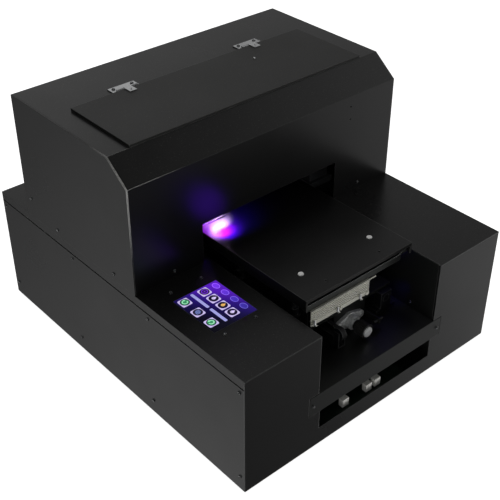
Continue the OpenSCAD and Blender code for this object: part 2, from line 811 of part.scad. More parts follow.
// Lamp housing with cooling fins on top and a pocket for the lens below
module uv_lamp() {
  z0 = nozzle_z + 2;
  fins = 7;
  color("#3c3d40") difference() {
    block([lamp_x[0], -26, z0], [lamp_x[1], 18, z0 + 66]);
    for (i = [0 : fins - 1]) block([lamp_x[0] + 4 + i * 6, -27, z0 + 40],
                                   [lamp_x[0] + 7 + i * 6, 19, z0 + 67]);
    bar_along_x([lamp_x[0] - 1, head_rod_y, head_rod_z], 50, rod_r + 1);
    block([lamp_x[0] + 5, -22, z0 - 1], [lamp_x[1] - 4, 14, z0 + 3]);
  }
}

module lamp_lens() {
  z0 = nozzle_z + 2;
  color("#b9a0ff") block([lamp_x[0] + 5.1, -21.9, z0 + 0.5], [lamp_x[1] - 4.1, 13.9, z0 + 3]);
}

// Parking station: a sled with a rubber cap that seals the nozzles
module cap_station() {
  color("#4a4b4d") difference() {
    union() {
      block([bay_x + 3, -24, deck_z], [bay_x + 50, 24, deck_z + 10]);
      block([bay_x + 7, -18, deck_z + 10], [bay_x + 45, 18, nozzle_z - 2]);
    }
    block([bay_x + 10, -15, nozzle_z - 6], [bay_x + 42, 15, nozzle_z]);
  }
}

module ink_tanks() {
  tank_w = 15;
  color("#c9c9c6") for (i = [0 : 5]) {
    x = 128 + i * 16.5;
    block([x, 70, deck_z], [x + tank_w, 185, deck_z + 78]);
    bar_along_z([x + tank_w / 2, 95, deck_z + 78], 9, 6);
  }
}

// ---------- electrics ----------

module main_board() {
  z = foot_h + 20;
  y0 = -y_in + 6;
  color("#1d4d2b") {
    block([-100, y0, z], [70, y0 + 130, z + 1.6]);
    for (x = [-96, 62], y = [y0 + 6, y0 + 120]) bar_along_z([x, y, foot_h + sheet], z - foot_h - sheet, 3);
    for (x = [-40, 20]) block([x, y0 + 60, z + 1.6], [x + 26, y0 + 86, z + 5]);
    for (x = [-58, -10, 8]) block([x, y0 + 2, z + 1.6], [x + 12, y0 + 10, z + 18]);
  }
}

module power_supply() {
  color("#a7a9ab") difference() {
    block([-x_in + 12, 60, foot_h + sheet], [-bay_x - 12, 255, foot_h + 52]);
    for (i = [0 : 8]) block([-x_in + 20 + i * 11, 80, foot_h + 49], [-x_in + 25 + i * 11, 235, foot_h + 53]);
  }
}

// Cables from the board's plugs back into one loom across the board
module wiring() {
  z = foot_h + 31;
  y = -y_in + 16.2;
  color("#2c2d30") {
    for (x = [-52, -4, 14]) bar_along_y([x, y, z], 90, 2.2);
    bar_along_x([-60, y + 88, z], 82, 3.5);
    for (x = [-60, 22]) bar_along_z([x, y + 88, foot_h + 21.8], z - foot_h - 21.8, 3.2);
  }
}

module fan_housing() {
  h = fan_size / 2;
  y0 = y_in - gap - fan_t;
  color("#141414") {
    difference() {
      block([fan_x - h, y0, fan_z - h], [fan_x + h, y0 + fan_t, fan_z + h]);
      bar_along_y([fan_x, y0 - 1, fan_z], fan_t + 2, 28);
    }
    bar_along_y([fan_x, y0 + 16, fan_z], 4, 12);
    block([fan_x - 29, y0 + 17, fan_z - 2], [fan_x + 29, y0 + fan_t, fan_z + 2]);
    block([fan_x - 2, y0 + 17, fan_z - 29], [fan_x + 2, y0 + fan_t, fan_z + 29]);
    bar_along_y([fan_x, y0 + 3.2, fan_z], 13.8, 2);
  }
}

module fan_rotor() {
  y0 = y_in - gap - fan_t;
  blades = 7;
  color("#1a1a1a") translate([fan_x, y0 + 2, fan_z]) rotate([-90, 0, 0]) difference() {
    union() {
      cylinder(h = 13, r = 12);
      for (i = [0 : blades - 1]) rotate([0, 0, i * 360 / blades])
        translate([11, 0, 6.5]) rotate([35, 0, 0]) translate([0, -0.8, -6]) cube([15.5, 1.6, 12]);
    }
    translate([0, 0, 1]) cylinder(h = 20, r = 2 + fit);
  }
}

// Mains inlet, rocker frame and data socket in the rear panel
module rear_sockets() {
  proud = 1.5;
  color("#161616") {
    difference() {
      union() {
        block([inlet_x - 13.8, y_in - 22, socket_z - 10.3], [inlet_x + 13.8, y_out + 0.1, socket_z + 10.3]);
        block([inlet_x - 16, y_out, socket_z - 12], [inlet_x + 16, y_out + proud, socket_z + 12]);
      }
      block([inlet_x - 11.5, y_in - 16, socket_z - 8], [inlet_x + 11.5, y_out + 3, socket_z + 8]);
    }
    for (p = [[-6, -2], [0, 2], [6, -2]])
      bar_along_y([inlet_x + p[0], y_in - 17, socket_z + p[1]], 12, 1.4);
    difference() {
      block([rocker_x - 6.8, y_in - 16, socket_z - 10.8], [rocker_x + 6.8, y_out + 0.4, socket_z + 10.8]);
      block([rocker_x - 5.6, y_in - 12, socket_z - 9.8], [rocker_x + 5.6, y_out + 3, socket_z + 9.8]);
    }
    difference() {
      block([usb_x - 6, y_in - 14, socket_z - 5.5], [usb_x + 6, y_out + 0.2, socket_z + 5.5]);
      block([usb_x - 4.4, y_in - 8, socket_z - 4], [usb_x + 4.4, y_out + 3, socket_z + 4]);
      block([usb_x - 3, y_in - 8.1, socket_z - 1.5], [usb_x + 3, y_out - 0.5, socket_z + 1.5]);
    }
    block([usb_x - 3, y_in - 8.1, socket_z - 1.5], [usb_x + 3, y_out - 0.5, socket_z + 1.5]);
  }
}

module power_rocker() {
  color("#0f0f0f") translate([rocker_x, y_in - 2, socket_z]) rotate([-rocker_tilt, 0, 0]) {
    block([-5.3, -3, -8.8], [5.3, 3.4, 8.8]);
    bar_along_x([-5.3, -4, 0], 10.6, 3);
  }
}

base_pan();
rubber_feet();
left_panel();
right_panel();
front_panel();
rear_panel();
deck_cover();
bay_tray();
bay_walls();
hood_cover();
hood_sides();
case_screws();
hinge_hood_leaves();
access_lid();
hinge_lid_leaves();
keypad_panel();
keypad_board();
key(mode_x, mode_y[0]);  // mode_key_1
key(mode_x, mode_y[1]);  // mode_key_2
key(mode_x, mode_y[2]);  // mode_key_3
key(mode_x, mode_y[3]);  // mode_key_4
key(jog_x, jog_y[0]);  // jog_key_1
key(jog_x, jog_y[1]);  // jog_key_2
key(jog_x, jog_y[2]);  // jog_key_3
guide_rods();
bed_brackets();
bed_motor();
bed_drive_pulley();
bed_idler_pulley();
bed_belt();
bed_carriage();
carriage_bearings();
flange_bearing();
lift_knob();
lift_shaft();
lift_screw();
table_top();
table_frame();
table_pads();
guide_posts();
lift_nut();
front_bar();
gantry_beam();
head_motor();
head_drive_pulley();
head_idler_pulley();
head_belt();
head_carriage();
print_head();
uv_lamp();
lamp_lens();
cap_station();
ink_tanks();
main_board();
power_supply();
wiring();
fan_housing();
fan_rotor();
rear_sockets();
power_rocker();
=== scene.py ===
# %% [markdown]
# # A desktop flatbed UV printer
# The printer is a box of black powder-coated sheet steel. A bay is open at its front, and a flat
# table slides in and out of it, under a print head that hides in the hood. The shapes that carry
# the mechanism come from the CAD model. This file gives every one of them the finish of its real
# material, adds the small things that sit on them, and lights the whole for a product picture.
# The frame is loaded first, so that every place below can be read from the CAD parts.

# %% Load the fixed frame
import math

import bmesh
import bpy
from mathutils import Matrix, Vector


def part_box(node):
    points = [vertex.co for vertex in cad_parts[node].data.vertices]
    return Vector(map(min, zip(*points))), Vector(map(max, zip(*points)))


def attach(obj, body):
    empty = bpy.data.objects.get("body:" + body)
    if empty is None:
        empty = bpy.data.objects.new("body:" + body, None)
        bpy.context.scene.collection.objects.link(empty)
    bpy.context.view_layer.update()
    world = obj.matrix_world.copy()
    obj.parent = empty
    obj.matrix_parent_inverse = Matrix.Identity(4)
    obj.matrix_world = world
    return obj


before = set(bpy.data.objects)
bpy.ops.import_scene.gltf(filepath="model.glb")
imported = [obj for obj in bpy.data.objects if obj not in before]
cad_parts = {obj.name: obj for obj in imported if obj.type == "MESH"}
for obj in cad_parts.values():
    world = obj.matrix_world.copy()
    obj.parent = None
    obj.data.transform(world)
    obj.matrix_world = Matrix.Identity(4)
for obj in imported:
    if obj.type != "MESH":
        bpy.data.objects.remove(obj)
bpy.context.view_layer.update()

# %% [markdown]
# ## Small tools for materials
# A colour picked from a swatch is an sRGB value, and Blender's sockets take linear light. One
# function makes that turn. A second adds a node, sets it and links it in one call, so a material
# reads from top to bottom as the list of things that make its surface. Every finish starts from
# one Principled shader and reads its place in object coordinates, which travel with the part.

# %% Colours and nodes
def tone(hex_text, share=1.0):
    """The linear colour for an sRGB hex value, or a share of its light."""
    parts = [int(hex_text[i : i + 2], 16) / 255 for i in (1, 3, 5)]
    light = [p / 12.92 if p <= 0.04045 else ((p + 0.055) / 1.055) ** 2.4 for p in parts]
    return tuple(c * share for c in light) + (1.0,)


def add(tree, kind, settings=None, inputs=None):
    """Adds a node. An input is a plain value, or another node's output to link."""
    made = tree.nodes.new(kind)
    for name, value in (settings or {}).items():
        setattr(made, name, value)
    for name, value in (inputs or {}).items():
        if isinstance(value, bpy.types.NodeSocket):
            tree.links.new(value, made.inputs[name])
        else:
            made.inputs[name].default_value = value
    return made


def begin(name, **sockets):
    """A new material with one Principled shader. Gives material, tree, shader and place."""
    material = bpy.data.materials.new(name)
    material.use_nodes = True
    tree = material.node_tree
    tree.nodes.clear()
    values = {key.replace("_", " "): value for key, value in sockets.items()}
    shader = add(tree, "ShaderNodeBsdfPrincipled", None, values)
    add(tree, "ShaderNodeOutputMaterial", None, {"Surface": shader.outputs["BSDF"]})
    place = add(tree, "ShaderNodeTexCoord").outputs["Object"]
    return material, tree, shader, place


# a Mix node's sockets by number: its two colours and their blend, then the same for plain values
LOW, HIGH, BLEND = 6, 7, 2
LOW_VALUE, HIGH_VALUE, BLEND_VALUE = 2, 3, 0
# a noise runs from 0 to 1 but keeps mostly between these two
NOISE_LOW, NOISE_HIGH = 0.3, 0.7
CASE_BLACK = "#0e0e0e"
print("the case's black in linear light:", [round(c, 4) for c in tone(CASE_BLACK)])

# %% [markdown]
# ## Edges and the last links of a finish
# Where sheet is bent or cut, its coat pulls thin over the edge and catches the light as a fine
# pale line. Modelling a tiny round on every edge would cost many faces, so the Bevel node does
# it in the shading: it turns the normals near an edge, and how far it turned them tells how near
# the edge is. The pale colour that the finishes mix in along that mask adds a painted highlight
# to the edge. The last links, to colour, roughness and relief, are the same for every finish.

# %% Edge line and surface
FLAT_COSINE = 0.995
EDGE_COSINE = 0.86


def edge_line(tree, radius_mm):
    """Rounded normals near an edge, and a mask that is 1 on the edge itself."""
    round_edge = add(tree, "ShaderNodeBevel", {"samples": 6}, {"Radius": radius_mm / 1000})
    flat = add(tree, "ShaderNodeNewGeometry").outputs["True Normal"]
    turn = add(tree, "ShaderNodeVectorMath", {"operation": "DOT_PRODUCT"},
               {0: round_edge.outputs["Normal"], 1: flat})
    mask = add(tree, "ShaderNodeMapRange", None,
               {"Value": turn.outputs["Value"], "From Min": FLAT_COSINE, "From Max": EDGE_COSINE,
                "To Min": 0.0, "To Max": 1.0})
    return round_edge.outputs["Normal"], mask.outputs["Result"]


def surface(tree, shader, colour, cloud, roughness, height, depth, normal):
    """Links the colour, a roughness that drifts between two values, and a relief."""
    drift = add(tree, "ShaderNodeMapRange", None,
                {"Value": cloud, "From Min": NOISE_LOW, "From Max": NOISE_HIGH,
                 "To Min": roughness[0], "To Max": roughness[1]})
    relief = add(tree, "ShaderNodeBump", None,
                 {"Height": height, "Distance": depth, "Strength": 1.0, "Normal": normal})
    tree.links.new(colour, shader.inputs["Base Color"])
    tree.links.new(drift.outputs["Result"], shader.inputs["Roughness"])
    tree.links.new(relief.outputs["Normal"], shader.inputs["Normal"])


print("an edge shows where the normal turns by", round(math.degrees(math.acos(FLAT_COSINE)), 1),
      "degrees or more")

# %% [markdown]
# ## Powder-coated steel
# The case is sheet steel with a black polyester powder baked on. Powder flows out into a faint
# orange peel about a millimetre across, which blurs every reflection a little. A fine noise
# makes the peel, a broad one makes a slow change across each sheet, and a sparse one makes dust,
# which settles only on what faces up. Near one corner of the hood the edges carry a near-white
# painted highlight, so the recipe can take a point and a reach for that.

# %% Powder coat
PEEL_MM = 1.3  # a little coarser than the real peel, so that it shows
EDGE_MM = 1.1
PATCH_SCALE = 7.0  # patches about 14 cm across
DUST_SCALE = 620.0  # specks about 1.6 mm apart
DUST_GREY = "#5c5a56"
# the share of the pale edge colour: partly coat worn thin, partly painted highlight
EDGE_WEAR_AND_HIGHLIGHT = 0.65
# the share of the hood's painted edge highlight far from its corner
FAR_GLINT = 0.06


def powder_coat(name, colour, rough, edge_wear_and_highlight="#6d6e6d", peel=0.00003, dust=0.5, painted_glint=None):
    material, tree, shader, place = begin(name, IOR=1.47)
    edge_normal, edge = edge_line(tree, EDGE_MM)
    grain = add(tree, "ShaderNodeTexNoise", None,
                {"Vector": place, "Scale": 1000 / PEEL_MM, "Detail": 2.0}).outputs["Fac"]
    broad = add(tree, "ShaderNodeTexNoise", None,
                {"Vector": place, "Scale": PATCH_SCALE, "Detail": 3.0}).outputs["Fac"]
    normal = add(tree, "ShaderNodeNewGeometry").outputs["True Normal"]
    facing = add(tree, "ShaderNodeSeparateXYZ", None, {"Vector": normal})
    speck = add(tree, "ShaderNodeTexNoise", None,
                {"Vector": place, "Scale": DUST_SCALE, "Detail": 1.0})
    specks = add(tree, "ShaderNodeMapRange", None,
                 {"Value": speck.outputs["Fac"], "From Min": 0.66, "From Max": 0.76,
                  "To Min": 0.0, "To Max": dust})
    lying = add(tree, "ShaderNodeMath", {"operation": "MULTIPLY", "use_clamp": True},
                {0: specks.outputs["Result"], 1: facing.outputs["Z"]})
    shade = add(tree, "ShaderNodeMix", {"data_type": "RGBA"},
                {"Factor": broad, LOW: tone(colour), HIGH: tone(colour, 1.25)})
    dusty = add(tree, "ShaderNodeMix", {"data_type": "RGBA"},
                {"Factor": lying.outputs["Value"], LOW: shade.outputs[BLEND],
                 HIGH: tone(DUST_GREY)})
    # the pale edge colour is partly coat worn thin and partly a painted highlight
    wear = EDGE_WEAR_AND_HIGHLIGHT
    if painted_glint:
        # painted highlight on the edges near a corner: full at the point, gone at the reach
        point, reach = painted_glint
        away = add(tree, "ShaderNodeVectorMath", {"operation": "DISTANCE"}, {0: place, 1: point})
        wear = add(tree, "ShaderNodeMapRange", None,
                   {"Value": away.outputs["Value"], "From Min": reach * 0.4, "From Max": reach,
                    "To Min": 1.0, "To Max": FAR_GLINT}).outputs["Result"]
    wear_and_highlight_mask = add(tree, "ShaderNodeMath", {"operation": "MULTIPLY"}, {0: edge, 1: wear})
    edged = add(tree, "ShaderNodeMix", {"data_type": "RGBA"},
                {"Factor": wear_and_highlight_mask.outputs["Value"], LOW: dusty.outputs[BLEND],
                 HIGH: tone(edge_wear_and_highlight)})
    surface(tree, shader, edged.outputs[BLEND], broad, (rough - 0.04, rough + 0.05),
            grain, peel, edge_normal)
    return material


CASE_COAT = powder_coat("powder_coat_black", CASE_BLACK, 0.3)
hood_low, hood_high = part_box("hood_cover")
hood_corner = (hood_low.x, hood_low.y, hood_high.z - 0.045)
# the hood's front-left corner, near the top, gets a near-white painted highlight on its edges
HOOD_COAT = powder_coat("powder_coat_hood_painted_glint", CASE_BLACK, 0.3, edge_wear_and_highlight="#f2f2ee",
                        painted_glint=(hood_corner, 0.095))
LID_COAT = powder_coat("powder_coat_lid_matt", "#1b1b1a", 0.5, dust=0.8)
INNER_COAT = powder_coat("powder_coat_inside", "#101110", 0.42, edge_wear_and_highlight="#2a2b2a", dust=0.1)
TABLE_COAT = powder_coat("table_black_anodised", "#0b0b0b", 0.33, edge_wear_and_highlight="#5a5a58",
                         peel=0.000015, dust=0.2)
BRACKET_COAT = powder_coat("brackets_black_paint", "#101113", 0.35, dust=0.0)
print("powder coats:", CASE_COAT.name, LID_COAT.name, INNER_COAT.name, TABLE_COAT.name)

# %% [markdown]
# ## Bare and plated metals
# Ground rods, plated hinges, cast bearings and cut extrusions differ in the tool that left its
# marks. One recipe holds all four: a metal colour, and a noise stretched along the way the tool
# ran. Stretching it along X, Y or Z turns the same noise into grinding, brushing or milling. A
# blasted or cast skin is partly oxide, which scatters light, so it is less than fully metallic.

# %% Metals
METAL_EDGE_MM = 0.5
STAIN_SCALE = 60.0
# a near-white painted highlight on the edges of every metal
EDGE_HIGHLIGHT = "#eceded"


def tooled_metal(name, colour, rough, along="Y", line_mm=0.5, depth=0.00002, dirt=0.25,
                 stretch=40.0, bare=1.0):
    """bare is the share of clean metal in the skin."""
    material, tree, shader, place = begin(name, Metallic=bare)
    edge_normal, edge = edge_line(tree, METAL_EDGE_MM)
    fine = 1000 / line_mm
    scale = [fine, fine, fine]
    scale["XYZ".index(along)] = fine / stretch
    drawn = add(tree, "ShaderNodeMapping", None, {"Vector": place, "Scale": tuple(scale)})
    lines = add(tree, "ShaderNodeTexNoise", None,
                {"Vector": drawn.outputs["Vector"], "Scale": 1.0, "Detail": 3.0}).outputs["Fac"]
    stain = add(tree, "ShaderNodeTexNoise", None,
                {"Vector": place, "Scale": STAIN_SCALE, "Detail": 4.0})
    stained = add(tree, "ShaderNodeMapRange", None,
                  {"Value": stain.outputs["Fac"], "From Min": 0.45, "From Max": 0.75,
                   "To Min": 0.0, "To Max": dirt})
    shade = add(tree, "ShaderNodeMix", {"data_type": "RGBA"},
                {"Factor": stained.outputs["Result"], LOW: tone(colour),
                 HIGH: tone(colour, 0.35)})
    # painted highlight: the edges turn near-white
    bright = add(tree, "ShaderNodeMix", {"data_type": "RGBA"},
                 {"Factor": edge, LOW: shade.outputs[BLEND], HIGH: tone(EDGE_HIGHLIGHT)})
    surface(tree, shader, bright.outputs[BLEND], lines, (rough * 0.75, rough * 1.3),
            lines, depth, edge_normal)
    return material


NICKEL = tooled_metal("hinge_nickel_plated", "#d6d7d8", 0.18, "X", 0.4)
GROUND_Y = tooled_metal("rod_ground_steel", "#c3c5c7", 0.16, "Y", 0.3)
TURNED_Z = tooled_metal("posts_turned_steel", "#bfc1c3", 0.22, "Z", 0.3)
CAST_ZINC = tooled_metal("bearing_cast_zinc", "#e4e6e5", 0.3, "X", 1.6, 0.00008, dirt=0.1,
                         stretch=1.5, bare=0.4)
BLASTED = tooled_metal("shaft_blasted_aluminium", "#dcdddd", 0.42, "X", 0.7, dirt=0.1,
                       stretch=1.5, bare=0.35)
MILLED = tooled_metal("brackets_milled_aluminium", "#a5a8ab", 0.33, "Y", 0.8)
RIBBED = tooled_metal("ribbed_bar_aluminium", "#d9d8cc", 0.34, "X", 0.5, dirt=0.15, bare=0.6)
# aluminium with painted shade: its dark grey is how it looks in the shadow under the table
SHADED_PLATE_ALU = tooled_metal("under_table_aluminium_painted_shade", "#5e605e", 0.4, "X", 0.7)
SHEET_ALU = tooled_metal("supply_cover_aluminium", "#9a9c9f", 0.36, "Y", 0.9)
STAINLESS = tooled_metal("nozzle_plate_stainless", "#a8aaad", 0.24, "X", 0.4)
BRASS = tooled_metal("nut_turned_brass", "#b08d4f", 0.27, "Z", 0.4)
BLACK_OXIDE = tooled_metal("screws_black_oxide", "#3a3b3c", 0.32, "Z", 1.0, 0.00001, dirt=0.4)
HEAT_SINK = tooled_metal("lamp_black_anodised", "#3c3d40", 0.38, "X", 0.6)
print("metals made:", len(bpy.data.materials))

# %% [markdown]
# ## Moulded and rubbery parts
# Injection-moulded ABS copies the spark-eroded texture of its mould: tiny rounded pits, even all
# over. Rubber and cable sleeving are the same recipe with a rougher skin and softer light.

# %% Plastics and rubber
MOULDED_EDGE_MM = 0.6
# the share of a pale grey painted highlight along moulded edges
EDGE_HIGHLIGHT_SHARE = 0.25


def moulded(name, colour, rough, pit_mm=0.8, depth=0.00003, mottle=0.2, **more):
    material, tree, shader, place = begin(name, IOR=1.53, **more)
    edge_normal, edge = edge_line(tree, MOULDED_EDGE_MM)
    pits = add(tree, "ShaderNodeTexVoronoi", {"feature": "SMOOTH_F1"},
               {"Vector": place, "Scale": 1000 / pit_mm})
    cloud = add(tree, "ShaderNodeTexNoise", None,
                {"Vector": place, "Scale": 35.0, "Detail": 3.0}).outputs["Fac"]
    amount = add(tree, "ShaderNodeMath", {"operation": "MULTIPLY"}, {0: cloud, 1: mottle})
    shade = add(tree, "ShaderNodeMix", {"data_type": "RGBA"},
                {"Factor": amount.outputs["Value"], LOW: tone(colour), HIGH: tone(colour, 0.6)})
    # painted highlight: a pale grey along the edges
    edge_highlight = add(tree, "ShaderNodeMath", {"operation": "MULTIPLY"}, {0: edge, 1: EDGE_HIGHLIGHT_SHARE})
    edged = add(tree, "ShaderNodeMix", {"data_type": "RGBA"},
                {"Factor": edge_highlight.outputs["Value"], LOW: shade.outputs[BLEND],
                 HIGH: tone("#9c9c9a")})
    surface(tree, shader, edged.outputs[BLEND], cloud, (rough - 0.05, rough + 0.07),
            pits.outputs["Distance"], depth, edge_normal)
    return material


KNOB_ABS = moulded("knob_black_abs", "#161616", 0.4)
HOUSING_ABS = moulded("housing_black_abs", "#18191a", 0.45)
SOCKET_ABS = moulded("socket_black_nylon", "#121212", 0.35)
WHITE_ACETAL = moulded("pads_white_acetal", "#f4f4f2", 0.35, mottle=0.06)
TANK = moulded("tanks_milky_polyethylene", "#c9c9c6", 0.3, mottle=0.15, Transmission_Weight=0.2)
CAP_GREY = moulded("cap_station_grey_abs", "#4a4b4d", 0.5)
RUBBER = moulded("feet_black_rubber", "#141414", 0.75, 1.2, 0.00006)
BELT = moulded("belt_black_neoprene", "#171717", 0.65, 0.9, 0.00005)
SLEEVE = moulded("cables_grey_sleeving", "#35363a", 0.5)
print("plastics:", KNOB_ABS.name, WHITE_ACETAL.name, TANK.name)

# %% [markdown]
# ## Lit parts
# The keypad is a dark printed film with lamps behind it, so its keys, bars and marks glow by
# themselves. A thing that is lit evenly takes a plain emission, set on the shader's own socket.
# The lamp's quartz window is made so too, only far stronger.

# %% Evenly glowing finishes
def glowing(name, colour, light, strength, rough=0.25):
    material, tree, shader, place = begin(name, IOR=1.49, Roughness=rough,
                                          Emission_Color=tone(light), Emission_Strength=strength)
    cloud = add(tree, "ShaderNodeTexNoise", None, {"Vector": place, "Scale": 180.0, "Detail": 2.0})
    shade = add(tree, "ShaderNodeMix", {"data_type": "RGBA"},
                {"Factor": cloud.outputs["Fac"], LOW: tone(colour), HIGH: tone(colour, 0.75)})
    tree.links.new(shade.outputs[BLEND], shader.inputs["Base Color"])
    return material


KEY_LIT = glowing("keycap_lit_white", "#a9a6c0", "#d8c8ff", 0.72)
BAR_LIT = glowing("bar_lit_white", "#8f90b4", "#b4b4ff", 0.62)
ICON_DARK = glowing("icon_disc_dark", "#120c20", "#1c0f3c", 0.4, 0.3)
ICON_VIOLET = glowing("icon_print_violet", "#5a2aa0", "#8a3cff", 0.6, 0.4)
ICON_PALE = glowing("icon_print_pale", "#b8b0c8", "#e0d4ff", 0.6, 0.4)
ICON_GOLD = glowing("icon_print_gold", "#a8803a", "#ffcf70", 0.6, 0.4)
ICON_GREEN = glowing("icon_print_green", "#1f6a42", "#46c080", 0.45, 0.4)
ICON_MINT = glowing("icon_print_mint", "#8fd0a8", "#b0ffd0", 0.6, 0.4)
ICON_BLUE = glowing("icon_print_blue_grey", "#5a6a98", "#8898e0", 0.5, 0.4)
LAMP_QUARTZ = glowing("lamp_quartz_lit", "#d8c6ff", "#b028ff", 7.0, 0.1)
print("glowing finishes:", KEY_LIT.name, BAR_LIT.name, LAMP_QUARTZ.name)

# %% [markdown]
# ## Light that changes across the film
# The light behind the film is strongest near the print head, so the film is nearly black at its
# front left corner and violet at its back right, and the windows change from front to back. A
# point's place is turned into a share of the way from a start to an end, and a colour ramp on
# that share gives the emission. The run is in object coordinates, so it stays on the film in
# every view.

# %% Finishes lit across
def stops_along(tree, value, stops):
    """A smooth run of colours through (place, colour) stops, places from 0 to 1."""
    curve = add(tree, "ShaderNodeValToRGB", None, {"Fac": value})
    steps = curve.color_ramp.elements
    while len(steps) < len(stops):
        steps.new(0.5)
    for step, (at, colour) in zip(steps, stops):
        step.position = at
        step.color = colour
    return curve.outputs["Color"]


def lit_across(name, colour, rough, start, end, stops, strength):
    """Printed polyester with lamps under it: what shines through changes from start to end."""
    material, tree, shader, place = begin(name, IOR=1.49, Roughness=rough,
                                          Emission_Strength=strength)
    run = Vector(end) - Vector(start)
    along = add(tree, "ShaderNodeVectorMath", {"operation": "DOT_PRODUCT"},
                {0: place, 1: run / run.length_squared})
    part = add(tree, "ShaderNodeMath", {"operation": "SUBTRACT", "use_clamp": True},
               {0: along.outputs["Value"], 1: Vector(start).dot(run) / run.length_squared})
    light = stops_along(tree, part.outputs["Value"], [(at, tone(hue)) for at, hue in stops])
    tree.links.new(light, shader.inputs["Emission Color"])
    cloud = add(tree, "ShaderNodeTexNoise", None, {"Vector": place, "Scale": 300.0, "Detail": 2.0})
    shade = add(tree, "ShaderNodeMix", {"data_type": "RGBA"},
                {"Factor": cloud.outputs["Fac"], LOW: tone(colour), HIGH: tone(colour, 1.3)})
    tree.links.new(shade.outputs[BLEND], shader.inputs["Base Color"])
    return material


FILM_RISE = 0.055  # how far back the film is at its brightest
film_low, film_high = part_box("keypad_panel")
film_dark = (film_low.x, film_low.y, film_high.z)
film_bright = (film_high.x, film_low.y + FILM_RISE, film_high.z)
FILM_LIT = lit_across("keypad_film_polyester", "#0a0910", 0.22, film_dark, film_bright,
                      [(0.0, "#04040a"), (0.3, "#07061a"), (0.5, "#120a40"), (0.72, "#261270"),
                       (1.0, "#521cb4")], 1.1)
# the windows run along the film's right edge, from its front to its back
windows_run = (film_high.x, film_low.y, 0), (film_high.x, film_high.y, 0)
WINDOW_LIT = lit_across("window_lit_violet", "#1c1048", 0.25, *windows_run,
                        [(0.0, "#2a2478"), (0.4, "#3c2ca0"), (1.0, "#7030e0")], 1.25)
WINDOW_RIM = lit_across("window_rim_lit_violet", "#3a2a70", 0.25, *windows_run,
                        [(0.0, "#5450b0"), (0.4, "#6c5cd0"), (1.0, "#a058ff")], 1.25)
print("lit finishes made, film", round((film_high.x - film_low.x) * 1000, 1), "mm wide")

# %% [markdown]
# ## Parts of two finishes
# A few CAD parts carry more than one material, such as the circuit board with its white plugs and
# black chips, or the ribbed bar, whose left end bracket is a painted plate. Their places are
# known from the part's own box, so a step at a place in object coordinates chooses the finish.

# %% Circuit boards and the ribbed bar
def step_mix(tree, place, axis, at, low, high):
    """Colour low below a place on one axis and colour high above it, in metres."""
    parts = add(tree, "ShaderNodeSeparateXYZ", None, {"Vector": place})
    over = add(tree, "ShaderNodeMath", {"operation": "GREATER_THAN"},
               {0: parts.outputs[axis], 1: at})
    return add(tree, "ShaderNodeMix", {"data_type": "RGBA"},
               {"Factor": over.outputs["Value"], LOW: low, HIGH: high}).outputs[BLEND]


def board_finish(name, chips_from, plugs_from):
    """Green-black laminate, with black chips above one height and white plugs above another."""
    material, tree, shader, place = begin(name, IOR=1.5, Roughness=0.35)
    copper = add(tree, "ShaderNodeTexBrick", {"offset": 0.5},
                 {"Vector": place, "Scale": 160.0, "Color1": tone("#0c1410"),
                  "Color2": tone("#0a100d"), "Mortar": tone("#1c3022"), "Mortar Size": 0.03})
    chips = step_mix(tree, place, "Z", chips_from, copper.outputs["Color"], tone("#141416"))
    plugs = step_mix(tree, place, "Z", plugs_from, chips, tone("#e9e8e2"))
    tree.links.new(plugs, shader.inputs["Base Color"])
    wear = add(tree, "ShaderNodeTexNoise", None, {"Vector": place, "Scale": 220.0, "Detail": 2.0})
    bump = add(tree, "ShaderNodeBump", None, {"Height": wear.outputs["Fac"], "Distance": 0.00003})
    tree.links.new(bump.outputs["Normal"], shader.inputs["Normal"])
    return material


# the plugs stand highest on the main board, so its laminate lies their height under its top
PLUG_HEIGHT, CHIP_HEIGHT, LAMINATE_SKIN = 0.0164, 0.0036, 0.0002
KEY_CHIPS_DOWN, KEY_PLUGS_DOWN = 0.0102, 0.0085
main_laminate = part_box("main_board")[1].z - PLUG_HEIGHT
MAIN_BOARD = board_finish("main_board_laminate", main_laminate + LAMINATE_SKIN,
                          main_laminate + CHIP_HEIGHT)
key_board_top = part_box("keypad_board")[1].z
KEY_BOARD = board_finish("keypad_board_laminate", key_board_top - KEY_CHIPS_DOWN,
                         key_board_top - KEY_PLUGS_DOWN)

BRACKET_PLATE = 0.0021
bar_low, bar_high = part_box("front_bar")
bar_tree = RIBBED.node_tree
bar_paint = bar_tree.nodes["Principled BSDF"].inputs["Base Color"]
bar_place = add(bar_tree, "ShaderNodeTexCoord").outputs["Object"]
bar_mix = step_mix(bar_tree, bar_place, "X", bar_low.x + BRACKET_PLATE, tone("#1c1c1c"),
                   bar_paint.links[0].from_socket)
bar_tree.links.new(bar_mix, bar_paint)
print("board top", round(main_laminate, 4), "bar", round((bar_high.x - bar_low.x) * 1000, 1), "mm")

# %% [markdown]
# ## Stepper motors
# A stepper is a stack of thin steel sheets under black lacquer, held between two bare aluminium
# end caps. The caps are the first and last fifth of its length. A wave at right angles to the
# shaft draws the sheets, and the caps alone are metallic.

# %% Motors
MOTOR_LENGTH = 0.040


